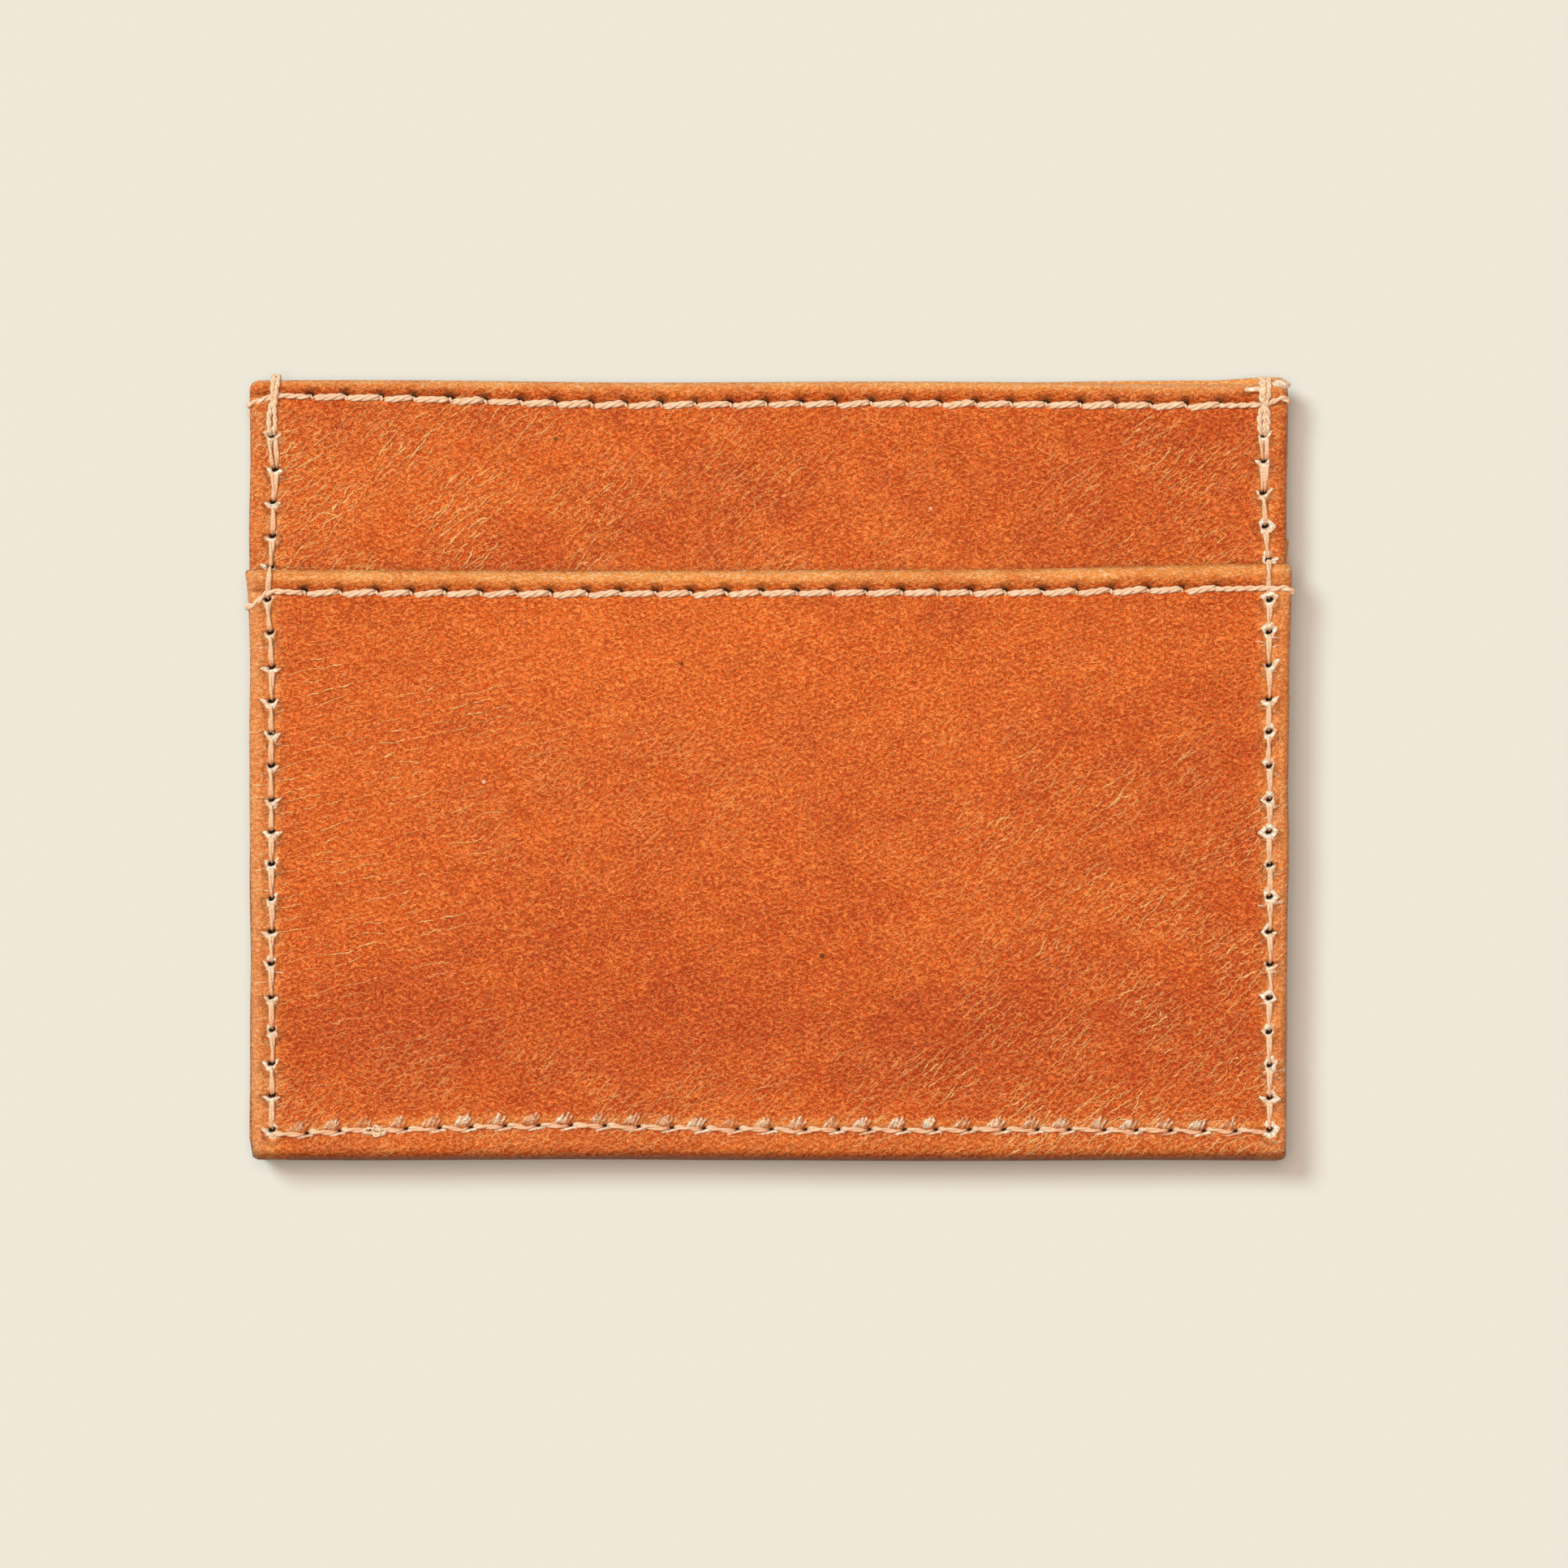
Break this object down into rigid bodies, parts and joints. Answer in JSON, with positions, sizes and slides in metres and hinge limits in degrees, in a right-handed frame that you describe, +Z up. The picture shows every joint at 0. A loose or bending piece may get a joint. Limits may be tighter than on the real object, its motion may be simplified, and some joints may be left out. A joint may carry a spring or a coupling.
{
  "type": "card holder",
  "caption": "Flat sewn leather card holder with a centre pocket, a front slot and stepped back slots, hemmed mouths and a stitched edge.",
  "frame": {"origin": "under the middle of the holder's box, on the surface that it lies on", "axes": "+X along the holder's width, +Y towards the mouths of its slots, +Z up through its thickness to the front pocket"},
  "size_m": [0.1024, 0.0764, 0.006],
  "materials": {
    "leather": "satin",
    "hem_thread": "matte",
    "edge_thread": "matte"
  },
  "bodies": {
    "root": {"front_pocket": "leather", "front_panel": "leather", "back_panel": "leather", "back_upper_pocket": "leather", "back_lower_pocket": "leather", "front_pocket_hem_outer_thread": "hem_thread", "front_pocket_hem_inner_thread": "hem_thread", "front_panel_hem_outer_thread": "hem_thread", "front_panel_hem_inner_thread": "hem_thread", "back_panel_hem_outer_thread": "hem_thread", "back_panel_hem_inner_thread": "hem_thread", "back_upper_pocket_hem_outer_thread": "hem_thread", "back_upper_pocket_hem_inner_thread": "hem_thread", "back_lower_pocket_hem_outer_thread": "hem_thread", "back_lower_pocket_hem_inner_thread": "hem_thread", "front_edge_thread": "edge_thread", "back_edge_thread": "edge_thread"}
  },
  "joints": []
}
